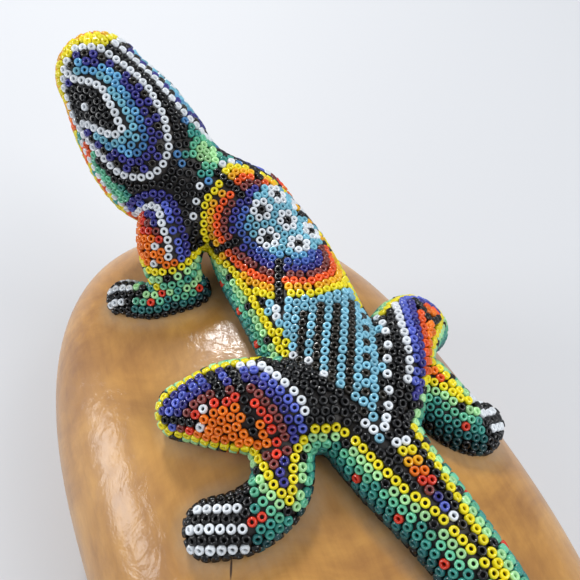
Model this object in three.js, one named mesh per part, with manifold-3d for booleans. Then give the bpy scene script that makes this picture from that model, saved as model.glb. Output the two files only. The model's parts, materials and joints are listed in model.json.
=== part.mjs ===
// Bead-covered lizard lying on a carved and varnished wooden base.
// The wooden figure is made in sections pegged together and to the base, dipped in beeswax,
// and covered with small glass beads pressed into the wax. Millimetres, +Z up, lizard facing +Y.
import * as THREE from 'three';
import { mergeVertices } from 'three/addons/utils/BufferGeometryUtils.js';
import Module from 'manifold-3d';

const wasm = await Module();
wasm.setup();

// Overall placing
const BASE_HALF_WIDTH = 56.5;
const BASE_HALF_LENGTH = 98.5;
const BASE_CENTRE_Y = -7.4;
const BASE_WIDEST_Z = 36;
const BASE_CROWN = 37;
const BASE_UNDER = 60;
const BASE_LEAN = 0.065;
const PLAN_POWER = 2.6;
const DOME_POWER = 2.4;

// Layers over the carved wood, as depths below the tops of the beads
const FIT = 0.3;
const BEADS_UNDERSIDE = 1.5;
const WAX_OUTSIDE = 1.8;
const WAX_INSIDE = 2.7;
const WOOD = 3.0;

// Bead borders that run round the figure where it meets the base
const BORDER_HEIGHT = 9;
const FOOT_REACH = 8;
const SMALLEST_DETAIL = 0.08;

// Pegs
const PEG_RADIUS = 2;
const NECK_PEG_RADIUS = 3;
const PEG_LENGTH = 15;
const BASE_PEG_LENGTH = 26;

const COLOURS = {
  wood: [0xa8743c, 0.35],
  carving: [0xc8a070, 0.8],
  peg: [0xb58a58, 0.8],
  wax: [0x3a2a14, 0.55],
  black: [0x101010, 0.25],
  teal: [0x2f9c86, 0.25],
  blue: [0x3f52c8, 0.25],
  lightBlue: [0x6fb8d8, 0.25],
  orange: [0xf08a20, 0.25],
  yellow: [0xe8d820, 0.25],
  white: [0xf0f4f8, 0.25],
};

function toManifold(geometry) {
  const bare = geometry.clone();
  bare.deleteAttribute('normal');
  bare.deleteAttribute('uv');
  const merged = mergeVertices(bare, 1e-4);
  return new wasm.Manifold(new wasm.Mesh({
    numProp: 3,
    vertProperties: new Float32Array(merged.attributes.position.array),
    triVerts: new Uint32Array(merged.index.array),
  }));
}

function largestBody(solid) {
  const bodies = solid.decompose();
  return bodies.reduce((best, body) => (body.volume() > best.volume() ? body : best));
}

function addPiece(group, name, solid, colourName) {
  const mesh = largestBody(solid.simplify(SMALLEST_DETAIL)).getMesh();
  const geometry = new THREE.BufferGeometry();
  geometry.setAttribute('position', new THREE.BufferAttribute(mesh.vertProperties, 3));
  geometry.setIndex(new THREE.BufferAttribute(mesh.triVerts, 1));
  geometry.computeVertexNormals();
  const [color, roughness] = COLOURS[colourName];
  const material = new THREE.MeshStandardMaterial({ color, roughness, metalness: 0 });
  material.name = colourName;
  const piece = new THREE.Mesh(geometry, material);
  piece.name = name;
  group.add(piece);
}

// The base: a rounded lump, superelliptical in plan and in its dome, sawn flat underneath.
// Its plan leans a little, fuller at the far left and near right.
function planReach(round) {
  const cos = Math.pow(Math.abs(Math.cos(round)), PLAN_POWER);
  const sin = Math.pow(Math.abs(Math.sin(round)), PLAN_POWER);
  return Math.pow(cos + sin, -1 / PLAN_POWER) * (1 - BASE_LEAN * Math.sin(2 * round));
}

function baseLump(grow) {
  const geometry = new THREE.SphereGeometry(1, 30, 18);
  geometry.rotateX(Math.PI / 2);
  const position = geometry.attributes.position;
  for (let i = 0; i < position.count; i += 1) {
    const height = THREE.MathUtils.clamp(position.getZ(i), -1, 1);
    const round = Math.atan2(position.getY(i), position.getX(i));
    const out = Math.pow(Math.sqrt(Math.max(0, 1 - height * height)), 2 / DOME_POWER);
    const rise = Math.sign(height) * Math.pow(Math.abs(height), 2 / DOME_POWER);
    const reach = out * planReach(round);
    position.setXYZ(i,
      (BASE_HALF_WIDTH + grow) * reach * Math.cos(round),
      BASE_CENTRE_Y + (BASE_HALF_LENGTH + grow) * reach * Math.sin(round),
      BASE_WIDEST_Z + rise * (height > 0 ? BASE_CROWN + grow : BASE_UNDER + grow));
  }
  return toManifold(geometry).trimByPlane([0, 0, 1], 0);
}

function baseTop(x, y) {
  const across = x / BASE_HALF_WIDTH;
  const along = (y - BASE_CENTRE_Y) / BASE_HALF_LENGTH;
  const out = Math.min(1, Math.hypot(across, along) / planReach(Math.atan2(along, across)));
  return BASE_WIDEST_Z + BASE_CROWN * Math.pow(1 - Math.pow(out, DOME_POWER), 1 / DOME_POWER);
}

// Stations along a limb: x, y, height of the centre (above the base when lying on it), half width,
// half height.
const SPINE = [
  { x: -27, y: -76, lift: 3.0, w: 4.2, h: 4.2 },
  { x: -12, y: -84, lift: 3.0, w: 4.6, h: 4.6 },
  { x: 6, y: -83, lift: 3.0, w: 5.4, h: 5.2 },
  { x: 20, y: -71, lift: 2.8, w: 6.4, h: 5.8 },
  { x: 23.3, y: -53, lift: 2.8, w: 7.5, h: 6.6 },
  { x: 20.2, y: -36, lift: 3.3, w: 8.5, h: 7.5 },
  { x: 15.3, y: -18, lift: 4.4, w: 10.2, h: 9.0 },
  { x: 13.5, y: 0, lift: 5.0, w: 13.0, h: 10.0 },
  { x: 13, y: 16, lift: 5.5, w: 14.6, h: 10.5 },
  { x: 13, y: 32, lift: 6.0, w: 15.4, h: 11.2 },
  { x: 12.5, y: 46, lift: 8.0, w: 15.8, h: 12.2 },
  { x: 8.5, y: 58, z: 83, w: 13.6, h: 13.0 },
  { x: -0.5, y: 68.5, z: 85.5, w: 12.8, h: 14.6 },
  { x: -8, y: 77, z: 90.8, w: 16.0, h: 18.1 },
  { x: -12.3, y: 87.2, z: 99.8, w: 15.2, h: 17.0 },
  { x: -15.9, y: 96, z: 108, w: 11.8, h: 12.4 },
];
const LEFT_UPPER_ARM = [
  { x: 3, y: 62, z: 84, w: 11, h: 10 },
  { x: -9.5, y: 60, z: 83.5, w: 9.8, h: 9.4 },
  { x: -13, y: 53, z: 77, w: 8.0, h: 7.6 },
  { x: -12, y: 47.5, z: 71.5, w: 6.0, h: 6.0 },
];
const LEFT_FOREARM = [
  { x: -10.5, y: 47.5, z: 70.5, w: 5.8, h: 6.0 },
  { x: -19.5, y: 48, z: 69.5, w: 5.4, h: 5.4 },
  { x: -27.5, y: 55, z: 66.5, w: 5.6, h: 5.0 },
];
const RIGHT_UPPER_ARM = [
  { x: 10, y: 67, z: 83.5, w: 8.5, h: 8.5 },
  { x: 17, y: 66, z: 79.5, w: 7.6, h: 7.6 },
  { x: 22, y: 60, z: 72.5, w: 6.2, h: 6.2 },
  { x: 25, y: 56, lift: 2.6, w: 5.4, h: 5.4 },
];
const RIGHT_FOREARM = [
  { x: 25, y: 54, lift: 2.6, w: 5.4, h: 5.4 },
  { x: 28, y: 60, lift: 2.4, w: 5.0, h: 5.0 },
  { x: 27, y: 66, lift: 2.2, w: 5.2, h: 4.8 },
];
const LEFT_THIGH = [
  { x: 6.5, y: -3, lift: 6.5, w: 10, h: 9.5 },
  { x: -5, y: 2.6, lift: 6.8, w: 11.2, h: 9.8 },
  { x: -14.5, y: 7, lift: 6, w: 10.2, h: 9 },
  { x: -22, y: 10, lift: 4.5, w: 7, h: 7 },
];
const LEFT_SHANK = [
  { x: -4.5, y: -5, lift: 4, w: 7.4, h: 7 },
  { x: -8.5, y: -15, lift: 3, w: 6.8, h: 6.4 },
  { x: -16.5, y: -18, lift: 2.2, w: 7, h: 5.4 },
  { x: -25, y: -16.5, lift: 2, w: 6.6, h: 5.2 },
];
const RIGHT_THIGH = [
  { x: 21, y: -6, lift: 5.5, w: 9, h: 9 },
  { x: 29, y: 5, lift: 6.8, w: 9.4, h: 9.6 },
  { x: 38, y: 13.5, lift: 6.4, w: 9.2, h: 9 },
  { x: 44.5, y: 16.5, lift: 4.5, w: 8, h: 7.4 },
];
const RIGHT_SHANK = [
  { x: 33, y: -3, lift: 4, w: 7.6, h: 7 },
  { x: 36.5, y: -12, lift: 3, w: 7.6, h: 6.6 },
  { x: 41, y: -15.6, lift: 1.7, w: 6.8, h: 5.5 },
  { x: 45, y: -14, lift: 2, w: 5.8, h: 5.0 },
];

function stationPoint(station) {
  const z = station.z ?? baseTop(station.x, station.y) + station.lift;
  return new THREE.Vector3(station.x, station.y, z);
}

// A round-ended sweep through the stations, every radius reduced by the depth.
function sweep(stations, depth, sides, rings) {
  const spine = new THREE.CatmullRomCurve3(stations.map(stationPoint), false, 'centripetal');
  const girth = new THREE.CatmullRomCurve3(
    stations.map((s) => new THREE.Vector3(s.w, s.h, 0)), false, 'catmullrom', 0.5);
  const geometry = new THREE.CapsuleGeometry(1, 1, 2, sides, rings);
  const position = geometry.attributes.position;
  const up = new THREE.Vector3(0, 0, 1);
  for (let i = 0; i < position.count; i += 1) {
    const y = position.getY(i);
    const along = THREE.MathUtils.clamp(y, -0.5, 0.5);
    const t = THREE.MathUtils.clamp(along + 0.5, 0, 1);
    const centre = spine.getPoint(t);
    const forward = spine.getTangent(t);
    const side = new THREE.Vector3().crossVectors(forward, up).normalize();
    const over = new THREE.Vector3().crossVectors(side, forward);
    const half = girth.getPoint(t);
    const width = half.x - depth;
    const height = half.y - depth;
    const point = centre
      .addScaledVector(side, position.getX(i) * width)
      .addScaledVector(over, position.getZ(i) * height)
      .addScaledVector(forward, (y - along) * (width + height) / 2);
    position.setXYZ(i, point.x, point.y, point.z);
  }
  return toManifold(geometry);
}

function spineSolid(depth) {
  return sweep(SPINE, depth, 12, 22);
}

function limb(upper, lower, depth) {
  return sweep(upper, depth, 8, 3).add(sweep(lower, depth, 8, 4));
}

const LEGS = {
  left_front: (depth) => limb(LEFT_UPPER_ARM, LEFT_FOREARM, depth),
  right_front: (depth) => limb(RIGHT_UPPER_ARM, RIGHT_FOREARM, depth),
  left_hind: (depth) => limb(LEFT_THIGH, LEFT_SHANK, depth),
  right_hind: (depth) => limb(RIGHT_THIGH, RIGHT_SHANK, depth),
};

// Where the figure is divided: across the neck and across the root of the tail.
const NECK = {
  at: new THREE.Vector3(4.5, 63.5, 84),
  facing: new THREE.Vector3(-8, 11, 3).normalize(),
};
const TAIL_ROOT = {
  at: new THREE.Vector3(15, -18, 76),
  facing: new THREE.Vector3(1.5, -18, -0.5).normalize(),
};

function beyond(solid, cut) {
  return solid.trimByPlane(cut.facing.toArray(), cut.facing.dot(cut.at) + FIT / 2);
}

function before(solid, cut) {
  const back = cut.facing.clone().negate();
  return solid.trimByPlane(back.toArray(), back.dot(cut.at) + FIT / 2);
}

const SPINE_SECTIONS = {
  head: (solid) => beyond(solid, NECK),
  trunk: (solid) => before(before(solid, NECK), TAIL_ROOT),
  tail: (solid) => beyond(solid, TAIL_ROOT),
};

// Round pegs, given by their middle, direction, length and radius.
const PEGS = {
  neck_peg: { at: [4.5, 63.5, 84], along: [-8, 11, 3], length: PEG_LENGTH, r: NECK_PEG_RADIUS },
  tail_peg: { at: [15, -18, 77.5], along: [1.5, -18, -0.5], length: PEG_LENGTH, r: PEG_RADIUS },
  left_front_leg_peg: { at: [-6, 60, 83], along: [-1, 0, 0], length: 10, r: PEG_RADIUS },
  right_front_leg_peg: { at: [12.5, 67, 82.5], along: [1, 0, -0.4], length: 10, r: PEG_RADIUS },
  left_hind_leg_peg: { at: [3, -1, 78.5], along: [-0.86, 0.5, 0], length: PEG_LENGTH, r: PEG_RADIUS },
  right_hind_leg_peg: { at: [24, 1, 78.5], along: [0.8, 0.6, 0], length: PEG_LENGTH, r: PEG_RADIUS },
  front_base_peg: { at: [12.5, 42, 67], along: [0, 0, 1], length: BASE_PEG_LENGTH, r: PEG_RADIUS },
  rear_base_peg: { at: [13.5, 10, 67], along: [0, 0, 1], length: BASE_PEG_LENGTH, r: PEG_RADIUS },
};

function roundPeg(peg, grow) {
  const geometry = new THREE.CylinderGeometry(peg.r + grow, peg.r + grow, peg.length + 2 * grow, 12);
  const along = new THREE.Vector3(...peg.along).normalize();
  const turn = new THREE.Quaternion().setFromUnitVectors(new THREE.Vector3(0, 1, 0), along);
  geometry.applyQuaternion(turn);
  geometry.translate(...peg.at);
  return toManifold(geometry);
}

const pegHoles = Object.values(PEGS).map((peg) => roundPeg(peg, FIT))
  .reduce((all, hole) => all.add(hole));

// An upright prism over a closed plan outline, grown outwards from its middle.
function planPrism(points, grow) {
  const corners = points.map(([x, y]) => new THREE.Vector2(x, y));
  const middle = corners.reduce((sum, c) => sum.clone().add(c)).divideScalar(corners.length);
  const grown = corners.map((c) => {
    const out = c.clone().sub(middle);
    return middle.clone().add(out.setLength(out.length() + grow));
  });
  const depth = 60;
  const geometry = new THREE.ExtrudeGeometry(new THREE.Shape(grown), { depth, bevelEnabled: false });
  geometry.translate(0, 0, 70);
  return toManifold(geometry);
}

function ellipsePoints(x, y, halfWidth, halfLength) {
  const curve = new THREE.EllipseCurve(x, y, halfWidth, halfLength);
  return curve.getPoints(20).slice(0, 20).map((p) => [p.x, p.y]);
}

function ball(centre, radius, grow) {
  const geometry = new THREE.SphereGeometry(radius + grow, 12, 8);
  geometry.translate(...centre);
  return toManifold(geometry);
}

// The layers over the carved figure, each opened where the figure lies on the base.
const restingSurface = baseLump(FIT);

function spineLayer(above, outside, inside) {
  let layer = spineSolid(outside).intersect(spineSolid(above)).subtract(spineSolid(inside))
    .subtract(restingSurface);
  for (const leg of Object.values(LEGS)) {
    layer = layer.subtract(leg(inside));
  }
  return layer;
}

function legLayer(leg, above, outside, inside) {
  return leg(outside).intersect(leg(above)).subtract(leg(inside))
    .subtract(spineSolid(outside - FIT)).subtract(restingSurface);
}

const model = new THREE.Group();
model.name = 'beaded_lizard_on_base';

function addBase() {
  addPiece(model, 'carved_base', baseLump(0).subtract(pegHoles), 'wood');
}

function addPegs() {
  for (const [name, peg] of Object.entries(PEGS)) {
    addPiece(model, name, roundPeg(peg, 0), 'peg');
  }
}

function addCarving() {
  const spine = spineSolid(WOOD).intersect(spineSolid(WAX_INSIDE)).subtract(restingSurface)
    .subtract(pegHoles);
  for (const [name, section] of Object.entries(SPINE_SECTIONS)) {
    addPiece(model, `${name}_carving`, section(spine), 'carving');
  }
  const around = spineSolid(WOOD - FIT);
  for (const [name, leg] of Object.entries(LEGS)) {
    const solid = leg(WOOD).intersect(leg(WAX_INSIDE)).subtract(around).subtract(restingSurface).subtract(pegHoles);
    addPiece(model, `${name}_leg_carving`, solid, 'carving');
  }
}

function addWax() {
  const spine = spineLayer(BEADS_UNDERSIDE, WAX_OUTSIDE, WAX_INSIDE);
  for (const [name, section] of Object.entries(SPINE_SECTIONS)) {
    addPiece(model, `${name}_wax`, section(spine), 'wax');
  }
  for (const [name, leg] of Object.entries(LEGS)) {
    addPiece(model, `${name}_leg_wax`, legLayer(leg, BEADS_UNDERSIDE, WAX_OUTSIDE, WAX_INSIDE), 'wax');
  }
}

// Bead fields: borders low down all round, and the motifs above them.
const borderZone = baseLump(BORDER_HEIGHT);
const aboveBorder = baseLump(BORDER_HEIGHT + FIT);
const MEDALLION = ellipsePoints(11, 46, 12.5, 15);
const SADDLE = [[24, 28], [0, 27], [2, 20], [13.5, -15], [15.5, -15], [26, 18]];
const LEFT_EYE = { centre: [-24, 84, 106], radius: 13 };
const RIGHT_EYE = { centre: [-2, 98, 108], radius: 13 };
const TAIL_DIAMOND = [[12, -20], [19, -20], [20.5, -30], [19.5, -40], [17.5, -40], [14, -30]];

function addTrunkBeads(beads) {
  const low = beads.intersect(borderZone).decompose()
    .sort((a, b) => b.volume() - a.volume()).slice(0, 2)
    .sort((a, b) => a.boundingBox().min[0] - b.boundingBox().min[0]);
  addPiece(model, 'left_flank_border_beads', low[0], 'teal');
  addPiece(model, 'right_flank_border_beads', low[1], 'teal');
  const high = beads.subtract(aboveBorder);
  addPiece(model, 'medallion_beads', high.intersect(planPrism(MEDALLION, 0)), 'lightBlue');
  const rest = high.subtract(planPrism(MEDALLION, FIT));
  addPiece(model, 'saddle_beads', rest.intersect(planPrism(SADDLE, 0)), 'lightBlue');
  addPiece(model, 'back_field_beads', rest.subtract(planPrism(SADDLE, FIT)), 'black');
}

function addHeadBeads(beads) {
  const left = ball(LEFT_EYE.centre, LEFT_EYE.radius, 0);
  const right = ball(RIGHT_EYE.centre, RIGHT_EYE.radius, 0);
  addPiece(model, 'left_eye_patch_beads', beads.intersect(left), 'blue');
  addPiece(model, 'right_eye_patch_beads', beads.intersect(right), 'blue');
  const around = beads.subtract(ball(LEFT_EYE.centre, LEFT_EYE.radius, FIT))
    .subtract(ball(RIGHT_EYE.centre, RIGHT_EYE.radius, FIT));
  addPiece(model, 'crown_and_jaw_beads', around, 'white');
}

function addTailBeads(beads) {
  const high = beads.subtract(aboveBorder);
  addPiece(model, 'tail_border_beads', beads.intersect(borderZone), 'teal');
  addPiece(model, 'tail_diamond_beads', high.intersect(planPrism(TAIL_DIAMOND, 0)), 'orange');
  addPiece(model, 'tail_ridge_beads', high.subtract(planPrism(TAIL_DIAMOND, FIT)), 'yellow');
}

const FEET = {
  left_front: [-30, 57, 66],
  right_front: [27.5, 69, 63],
  left_hind: [-25.5, -16, 72],
  right_hind: [46.4, -13.2, 68.3],
};

function addLegBeads(name, beads) {
  const foot = FEET[name];
  addPiece(model, `${name}_foot_beads`, beads.intersect(ball(foot, FOOT_REACH, 0)), 'white');
  const rest = beads.subtract(ball(foot, FOOT_REACH, FIT));
  addPiece(model, `${name}_leg_border_beads`, rest.intersect(borderZone), 'teal');
  addPiece(model, `${name}_leg_motif_beads`, rest.subtract(aboveBorder), 'orange');
}

function addBeads() {
  const spine = spineLayer(0, 0, BEADS_UNDERSIDE);
  addTrunkBeads(SPINE_SECTIONS.trunk(spine));
  addHeadBeads(SPINE_SECTIONS.head(spine));
  addTailBeads(SPINE_SECTIONS.tail(spine));
  for (const [name, leg] of Object.entries(LEGS)) {
    addLegBeads(name, legLayer(leg, 0, 0, BEADS_UNDERSIDE));
  }
}

addBase();
addPegs();
addCarving();
addWax();
addBeads();

export default model;
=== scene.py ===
import json
import math

import bpy
import numpy as np
from mathutils import Matrix, Vector
from mathutils.bvhtree import BVHTree
from mathutils.kdtree import KDTree

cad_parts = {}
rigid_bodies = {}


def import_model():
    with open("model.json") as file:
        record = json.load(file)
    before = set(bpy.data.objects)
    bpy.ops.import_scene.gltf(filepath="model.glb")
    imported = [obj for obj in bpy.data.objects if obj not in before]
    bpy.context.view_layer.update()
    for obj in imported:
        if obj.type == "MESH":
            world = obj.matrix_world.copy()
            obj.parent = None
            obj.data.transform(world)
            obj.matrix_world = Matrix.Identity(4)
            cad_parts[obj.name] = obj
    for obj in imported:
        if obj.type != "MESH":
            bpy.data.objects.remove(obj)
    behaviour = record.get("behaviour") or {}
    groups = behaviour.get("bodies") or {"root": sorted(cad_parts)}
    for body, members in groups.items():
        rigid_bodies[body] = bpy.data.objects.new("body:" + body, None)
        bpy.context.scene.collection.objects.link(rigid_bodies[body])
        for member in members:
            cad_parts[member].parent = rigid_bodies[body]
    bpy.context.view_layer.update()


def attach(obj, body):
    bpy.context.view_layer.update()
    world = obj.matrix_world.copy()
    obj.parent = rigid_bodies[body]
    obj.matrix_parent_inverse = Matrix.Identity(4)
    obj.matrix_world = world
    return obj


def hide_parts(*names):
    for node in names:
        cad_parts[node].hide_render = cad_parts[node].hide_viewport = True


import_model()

# The viewpoint: above and behind the lizard's left side, looking forward along its back, so the
# near end of the base and the end of the tail are out of view.
camera_data = bpy.data.cameras.new("camera")
camera_data.sensor_width = 36.0
camera_data.lens = 39.72
camera = bpy.data.objects.new("camera", camera_data)
bpy.context.scene.collection.objects.link(camera)
right = Vector((0.9272, -0.3746, 0.0))
ahead = Vector((0.2306, 0.5708, -0.7880))
above = right.cross(ahead)
turn = Matrix((right, above, -ahead)).transposed().to_4x4()
camera.matrix_world = Matrix.Translation((-0.0255, -0.0625, 0.2088)) @ turn
camera_data.clip_start = 0.005
bpy.context.scene.camera = camera


# The floor: a plain pale surface that the wooden base stands on, far wider than the figure. It
# is there for the picture and isn't part of the object.
def deselect():
    for thing in bpy.context.view_layer.objects:
        thing.select_set(False)


def new_finish(name, roughness):
    """A material, its node tree and its shader, for the finish of one kind of piece."""
    material = bpy.data.materials.new(name)
    material.use_nodes = True
    shader = material.node_tree.nodes["Principled BSDF"]
    shader.inputs["Roughness"].default_value = roughness
    return material, material.node_tree, shader


deselect()
bpy.ops.mesh.primitive_plane_add(size=4.0, location=(0, 0, 0))
floor = bpy.context.object
floor.name = "floor"
pale_floor, tree, shader = new_finish("pale_floor", 0.6)
shader.inputs["Base Color"].default_value = (0.62, 0.63, 0.65, 1.0)
floor.data.materials.append(pale_floor)

# The light: a soft panel in front of the lizard, a lower one at its left, a broad fill and a
# pale surround. The strong colours of the glass are shown plainly.
FIGURE_MIDDLE = Vector((0, 0, 0.06))
bpy.context.scene.view_settings.view_transform = "Standard"
world = bpy.data.worlds.new("studio")
bpy.context.scene.world = world
world.use_nodes = True
surround = world.node_tree.nodes["Background"]
surround.inputs["Color"].default_value = (0.86, 0.90, 0.96, 1.0)
surround.inputs["Strength"].default_value = 0.50


def soft_light(name, place, wide, high, power):
    data = bpy.data.lights.new(name, "AREA")
    data.shape = "RECTANGLE"
    data.size = wide
    data.size_y = high
    data.energy = power
    lamp = bpy.data.objects.new(name, data)
    bpy.context.scene.collection.objects.link(lamp)
    lamp.location = place
    lamp.rotation_euler = (FIGURE_MIDDLE - Vector(place)).to_track_quat("-Z", "Y").to_euler()


soft_light("front_panel", (0.08, 0.72, 0.70), 0.13, 0.13, 5.0)
soft_light("left_panel", (-0.88, 0.40, 0.40), 0.40, 0.30, 4.0)
soft_light("fill", (0.5, -0.5, 0.8), 0.6, 0.6, 5.0)

# The carved base: one lump of honey-brown wood, rounded all over, sawn flat underneath and
# given a thick gloss varnish. It is a ball pressed to the lump's plan and dome, in millimetres.
HALF_WIDTH = 56.5
HALF_LENGTH = 98.5
CENTRE_Y = -7.4
WIDEST = 36.0
CROWN = 37.0
UNDER = 60.0
PLAN_POWER = 2.6
DOME_POWER = 2.4
LEAN = 0.065


def plan_reach(round_angle):
    """How far the lump's plan reaches at an angle, as a share of its half widths."""
    cos = np.abs(np.cos(round_angle)) ** PLAN_POWER
    sin = np.abs(np.sin(round_angle)) ** PLAN_POWER
    return (cos + sin) ** (-1 / PLAN_POWER) * (1 - LEAN * np.sin(2 * round_angle))


def base_top(x, y):
    """The height of the base's surface at a place seen from above."""
    across = np.asarray(x) / HALF_WIDTH
    along = (np.asarray(y) - CENTRE_Y) / HALF_LENGTH
    out = np.hypot(across, along) / plan_reach(np.arctan2(along, across))
    out = np.minimum(out, 1.0)
    return WIDEST + CROWN * (1 - out ** DOME_POWER) ** (1 / DOME_POWER)


def mesh_points(mesh):
    """The mesh's vertices as rows of x, y, z."""
    points = np.empty(len(mesh.vertices) * 3)
    mesh.vertices.foreach_get("co", points)
    return points.reshape(-1, 3)


def set_points(mesh, points):
    mesh.vertices.foreach_set("co", np.ascontiguousarray(points, dtype=np.float32).ravel())
    mesh.update()


deselect()
bpy.ops.mesh.primitive_uv_sphere_add(segments=160, ring_count=100, radius=1.0)
base = bpy.context.object
base.name = "wooden_base"
ball = mesh_points(base.data)
height = np.clip(ball[:, 2], -1, 1)
round_angle = np.arctan2(ball[:, 1], ball[:, 0])
out = np.sqrt(np.maximum(0, 1 - height ** 2)) ** (2 / DOME_POWER)
rise = np.sign(height) * np.abs(height) ** (2 / DOME_POWER)
reach = out * plan_reach(round_angle)
lump = np.stack([
    HALF_WIDTH * reach * np.cos(round_angle),
    CENTRE_Y + HALF_LENGTH * reach * np.sin(round_angle),
    WIDEST + np.where(rise > 0, CROWN * rise, UNDER * rise)], 1)
set_points(base.data, lump / 1000)
bpy.ops.object.mode_set(mode="EDIT")
bpy.ops.mesh.select_all(action="SELECT")
bpy.ops.mesh.bisect(plane_co=(0, 0, 0), plane_no=(0, 0, 1), clear_inner=True, use_fill=True)
bpy.ops.mesh.select_all(action="SELECT")
bpy.ops.mesh.normals_make_consistent(inside=False)
bpy.ops.object.mode_set(mode="OBJECT")
bpy.ops.object.shade_smooth_by_angle(angle=math.radians(50))


def node(tree, kind, **settings):
    made = tree.nodes.new(kind)
    for name, value in settings.items():
        if name in made.inputs:
            made.inputs[name].default_value = value
        else:
            setattr(made, name, value)
    return made


def ramp(tree, factor, stops):
    made = tree.nodes.new("ShaderNodeValToRGB")
    while len(made.color_ramp.elements) < len(stops):
        made.color_ramp.elements.new(0.5)
    for element, (place, colour) in zip(made.color_ramp.elements, stops):
        element.position = place
        element.color = (*colour, 1.0)
    tree.links.new(factor, made.inputs["Fac"])
    return made.outputs["Color"]


def placed(tree, mapping=None):
    """Places on the piece itself, passed through a mapping node where one is given."""
    here = node(tree, "ShaderNodeTexCoord").outputs["Object"]
    if mapping:
        tree.links.new(here, mapping.inputs["Vector"])
        here = mapping.outputs["Vector"]
    return here


def noise(tree, where, **settings):
    made = node(tree, "ShaderNodeTexNoise", **settings)
    tree.links.new(where, made.inputs["Vector"])
    return made.outputs["Fac"]


def blend(tree, kind, factor, below, over):
    """Lay one colour over another; each of the three is a socket or a plain value."""
    made = node(tree, "ShaderNodeMix", data_type="RGBA", blend_type=kind)
    for source, socket in zip((factor, below, over), (made.inputs[0], *made.inputs[6:8])):
        if isinstance(source, bpy.types.NodeSocket):
            tree.links.new(source, socket)
        else:
            socket.default_value = source
    return made.outputs[2]


def uneven(tree, height, socket, strength, depth):
    """Small dips and swells, given to one of the shader's normal sockets."""
    made = node(tree, "ShaderNodeBump", Strength=strength, Distance=depth)
    tree.links.new(height, made.inputs["Height"])
    tree.links.new(made.outputs["Normal"], socket)


HONEY = [(0.30, (0.320, 0.135, 0.024)), (0.50, (0.470, 0.222, 0.042)),
         (0.72, (0.640, 0.330, 0.070))]
FIBRE = [(0.30, (0.84, 0.80, 0.74)), (0.52, (0.97, 0.96, 0.94)), (0.75, (1.06, 1.05, 1.02))]
CLOUDY_WAX = (0.50, 0.40, 0.28, 1.0)
CRACK = [(0.5, (0.10, 0.07, 0.05)), (1.0, (1.0, 1.0, 1.0))]
varnished_wood, tree, shader = new_finish("varnished_wood", 0.46)
along_grain = node(tree, "ShaderNodeMapping", Scale=(430, 60, 220),
                   Rotation=(0, 0, math.radians(-8)))
fibre = noise(tree, placed(tree, along_grain), Scale=1.0, Detail=7.0, Roughness=0.62)
broad = noise(tree, placed(tree), Scale=32.0, Detail=6.0, Roughness=0.62, Distortion=1.2)
honey = blend(tree, "MULTIPLY", 1.0, ramp(tree, broad, HONEY), ramp(tree, fibre, FIBRE))
# a little cloudy wax left on the varnish along the beads, and one short drying crack
beside_beads = node(tree, "ShaderNodeAttribute", attribute_name="wax_haze")
smears = noise(tree, placed(tree), Scale=260.0, Detail=4.0, Roughness=0.7)
smeared = node(tree, "ShaderNodeMath", operation="MULTIPLY")
tree.links.new(beside_beads.outputs["Fac"], smeared.inputs[0])
tree.links.new(smears, smeared.inputs[1])
cloudy = blend(tree, "MIX", smeared.outputs["Value"], honey, CLOUDY_WAX)
along_crack = node(tree, "ShaderNodeMapping", vector_type="TEXTURE",
                   Location=(-0.0233, -0.0249, 0.0704), Rotation=(0, 0, math.radians(-22)),
                   Scale=(0.00032, 0.0028, 0.004))
from_crack = node(tree, "ShaderNodeVectorMath", operation="LENGTH")
tree.links.new(placed(tree, along_crack), from_crack.inputs[0])
cracked = ramp(tree, from_crack.outputs["Value"], CRACK)
tree.links.new(blend(tree, "MULTIPLY", 1.0, cloudy, cracked), shader.inputs["Base Color"])
brushed = noise(tree, placed(tree), Scale=170.0, Detail=4.0, Roughness=0.6, Distortion=1.2)
uneven(tree, brushed, shader.inputs["Coat Normal"], 0.45, 0.0006)
shader.inputs["Coat Weight"].default_value = 0.45
shader.inputs["Coat Roughness"].default_value = 0.13
base.data.materials.append(varnished_wood)
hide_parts("carved_base")
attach(base, "root")

# The wax coat: beeswax over the carved lizard, the bed that the beads are pressed into, coloured
# near black as painted shade for the gaps between the beads.
# Body, head and tail are one sweep; each leg is a thigh or upper arm and a lower leg. A station
# is x, y, height over the base, half width, half height, and z where it is off the base.
BEAD_CENTRE = 0.72
WAX_BELOW_CENTRE = 0.72
ON_WOOD = 0.05
END_CAP = math.radians(25)
SPINE = [
    (-27, -76, 3.0, 4.2, 4.2), (-12, -84, 3.0, 4.6, 4.6), (6, -83, 3.0, 5.4, 5.2),
    (20, -71, 2.8, 6.4, 5.8), (23.3, -53, 2.8, 7.5, 6.6), (20.2, -36, 3.3, 8.5, 7.5),
    (15.3, -18, 4.4, 10.2, 9.0), (13.5, 0, 5.0, 13.0, 10.0), (13, 16, 5.5, 14.6, 10.5),
    (13, 32, 6.0, 15.4, 11.2), (12.5, 46, 8.0, 15.8, 12.2), (8.5, 58, None, 13.6, 13.0, 83),
    (-0.5, 68.5, None, 12.8, 14.6, 85.5), (-8, 77, None, 16.0, 18.1, 90.8),
    (-12.3, 87.2, None, 15.2, 17.0, 99.8), (-15.9, 96, None, 11.8, 12.4, 108)]
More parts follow.
